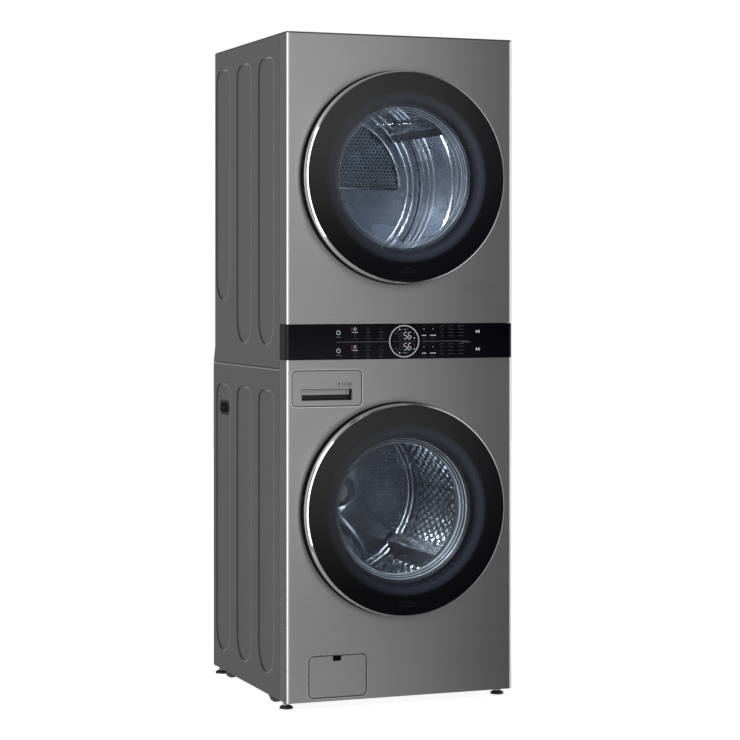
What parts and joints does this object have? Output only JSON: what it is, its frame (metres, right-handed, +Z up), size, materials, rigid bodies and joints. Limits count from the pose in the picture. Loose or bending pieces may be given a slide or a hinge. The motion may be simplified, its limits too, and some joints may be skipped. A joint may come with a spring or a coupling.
{
  "type": "washer dryer stack",
  "caption": "Tall one-piece laundry cabinet with a round-door front-loading washer below, a round-door dryer above and a touch panel between them.",
  "frame": {"origin": "on the floor, under the middle of the whole object's bounding box", "axes": "+Z up, the doors face -Y, +X to the right seen from the front"},
  "size_m": [0.686, 0.7714, 1.889],
  "materials": {
    "painted_sheet": "satin graphite paint",
    "brushed_front": "brushed horizontally",
    "black_panel": "gloss black",
    "black_plastic": "matte black",
    "chrome_trim": "polished",
    "door_glass": "tinted, with a black printed rim",
    "bowl_glass": "clear",
    "zinc_sheet": "galvanised",
    "drum_steel": "bright stainless",
    "white_plastic": "moulded",
    "seal_rubber": "matte grey",
    "spring_steel": "drawn wire",
    "cast_alloy": "as cast",
    "concrete": "cast concrete",
    "board": "circuit board"
  },
  "bodies": {
    "cabinet": {"base_frame": "zinc_sheet", "washer_cabinet": "painted_sheet", "dryer_cabinet": "painted_sheet", "top_cover": "painted_sheet", "washer_rear_panel": "painted_sheet", "dryer_rear_panel": "painted_sheet", "washer_front_panel": "brushed_front", "dryer_front_panel": "brushed_front", "door_surrounds": "black_plastic", "control_panel": "black_panel", "control_board": "board", "separator_deck": "zinc_sheet", "hinge_brackets": "zinc_sheet", "door_locks": "black_plastic", "grip_cups": "black_plastic", "rear_screws": "zinc_sheet", "dispenser_housing": "white_plastic", "inlet_valves": "white_plastic", "drain_pump": "black_plastic", "filter_bay": "white_plastic", "terminal_cover": "painted_sheet", "door_gasket": "seal_rubber", "suspension_springs": "spring_steel", "damper_cylinders": "black_plastic", "dryer_front_bulkhead": "white_plastic", "dryer_rear_bulkhead": "zinc_sheet", "exhaust_duct": "cast_alloy", "dryer_motor": "cast_alloy", "drum_belt": "seal_rubber"},
    "tub": {"tub_front": "white_plastic", "tub_rear": "white_plastic", "counterweights": "concrete", "motor_stator": "spring_steel", "drum_bearings": "spring_steel", "damper_rods": "spring_steel"},
    "washer_drum_unit": {"washer_drum": "drum_steel", "washer_lifters": "white_plastic", "drum_spider": "cast_alloy", "motor_rotor": "zinc_sheet"},
    "washer_door": {"washer_door_frame": "black_plastic", "washer_door_trim": "chrome_trim", "washer_door_glass": "door_glass", "washer_door_bowl": "bowl_glass"},
    "dryer_door": {"dryer_door_frame": "black_plastic", "dryer_door_trim": "chrome_trim", "dryer_door_glass": "door_glass", "dryer_door_bowl": "bowl_glass"},
    "dryer_drum_unit": {"dryer_drum": "drum_steel", "dryer_lifters": "white_plastic"},
    "blower": {"blower_wheel": "black_plastic"},
    "left_roller": {"roller_left": "black_plastic"},
    "right_roller": {"roller_right": "black_plastic"},
    "drawer": {"detergent_drawer": "white_plastic"},
    "flap": {"pump_flap": "black_plastic"},
    "filter": {"pump_filter": "black_plastic"},
    "lint_screen": {"lint_filter": "black_plastic"},
    "foot_fl": {"foot_front_left": "black_plastic"},
    "foot_fr": {"foot_front_right": "black_plastic"},
    "foot_bl": {"foot_back_left": "black_plastic"},
    "foot_br": {"foot_back_right": "black_plastic"}
  },
  "joints": [
    {"name": "washer_door_hinge", "type": "hinge", "parent": "cabinet", "child": "washer_door", "pos_m": [-0.288, -0.36175, 0.553], "axis": [0, 0, -1], "range_deg": [0, 115]},
    {"name": "dryer_door_hinge", "type": "hinge", "parent": "cabinet", "child": "dryer_door", "pos_m": [-0.288, -0.36175, 1.488], "axis": [0, 0, -1], "range_deg": [0, 115]},
    {"name": "tub_bounce", "type": "slide", "parent": "cabinet", "child": "tub", "axis": [0, 0, 1], "range_m": [-0.008, 0.008], "stiffness_N_per_m": 15000, "springref_m": 0.0265, "deforming": ["suspension_springs", "door_gasket"]},
    {"name": "washer_drum_spin", "type": "hinge", "parent": "tub", "child": "washer_drum_unit", "pos_m": [0, -0.03975, 0.553], "axis": [0, 1, 0], "continuous": true},
    {"name": "dryer_drum_spin", "type": "hinge", "parent": "cabinet", "child": "dryer_drum_unit", "pos_m": [0, -0.03975, 1.488], "axis": [0, 1, 0], "continuous": true},
    {"name": "blower_spin", "type": "hinge", "parent": "cabinet", "child": "blower", "pos_m": [0.13, -0.03975, 1.075], "axis": [0, 1, 0], "continuous": true},
    {"name": "left_roller_spin", "type": "hinge", "parent": "cabinet", "child": "left_roller", "pos_m": [-0.14427, 0.20425, 1.21667], "axis": [0, 1, 0], "continuous": true},
    {"name": "right_roller_spin", "type": "hinge", "parent": "cabinet", "child": "right_roller", "pos_m": [0.14427, 0.20425, 1.21667], "axis": [0, 1, 0], "continuous": true},
    {"name": "drawer_slide", "type": "slide", "parent": "cabinet", "child": "drawer", "axis": [0, -1, 0], "range_m": [0, 0.24]},
    {"name": "flap_hinge", "type": "hinge", "parent": "cabinet", "child": "flap", "pos_m": [-0.192, -0.33425, 0.05], "axis": [1, 0, 0], "range_deg": [0, 95]},
    {"name": "filter_turn", "type": "hinge", "parent": "cabinet", "child": "filter", "pos_m": [-0.192, -0.27975, 0.0925], "axis": [0, -1, 0], "range_deg": [0, 120]},
    {"name": "lint_screen_lift", "type": "slide", "parent": "cabinet", "child": "lint_screen", "axis": [0, 0, 1], "range_m": [0, 0.12]},
    {"name": "foot_fl_screw", "type": "slide", "parent": "cabinet", "child": "foot_fl", "axis": [0, 0, -1], "range_m": [0, 0.012]},
    {"name": "foot_fr_screw", "type": "slide", "parent": "cabinet", "child": "foot_fr", "axis": [0, 0, -1], "range_m": [0, 0.012]},
    {"name": "foot_bl_screw", "type": "slide", "parent": "cabinet", "child": "foot_bl", "axis": [0, 0, -1], "range_m": [0, 0.012]},
    {"name": "foot_br_screw", "type": "slide", "parent": "cabinet", "child": "foot_br", "axis": [0, 0, -1], "range_m": [0, 0.012]}
  ],
  "couplings": [
    {"joint": "blower_spin", "follows": "dryer_drum_spin", "ratio": 20.357},
    {"joint": "left_roller_spin", "follows": "dryer_drum_spin", "ratio": -12.954},
    {"joint": "right_roller_spin", "follows": "dryer_drum_spin", "ratio": -12.954}
  ]
}
